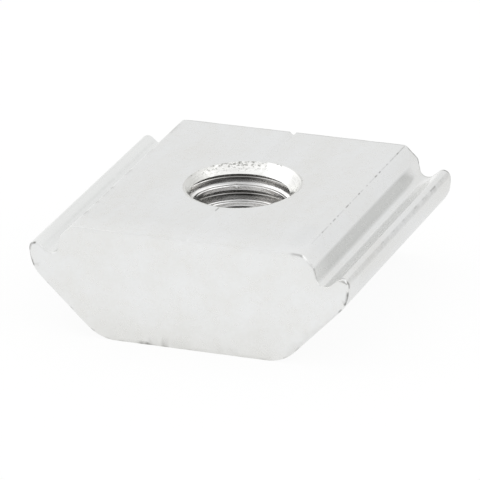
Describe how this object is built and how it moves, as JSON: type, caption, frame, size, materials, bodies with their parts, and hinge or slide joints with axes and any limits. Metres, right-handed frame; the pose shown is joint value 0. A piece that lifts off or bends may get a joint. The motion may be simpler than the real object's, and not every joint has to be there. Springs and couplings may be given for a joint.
{
  "type": "t slot nut",
  "caption": "Drop-in slot nut: a block with sloped underside, a lip and groove along each side, and a tapped hole through its middle.",
  "frame": {"origin": "middle of the flat underside, below the tapped hole", "axes": "+X across the slot, +Y along the slot, +Z out through the slot's mouth, along the tapped hole"},
  "size_m": [0.0236, 0.02, 0.0082],
  "materials": {
    "zinc_plate": "pale satin zinc plate on steel"
  },
  "bodies": {
    "root": {"slot_nut": "zinc_plate"}
  },
  "joints": []
}
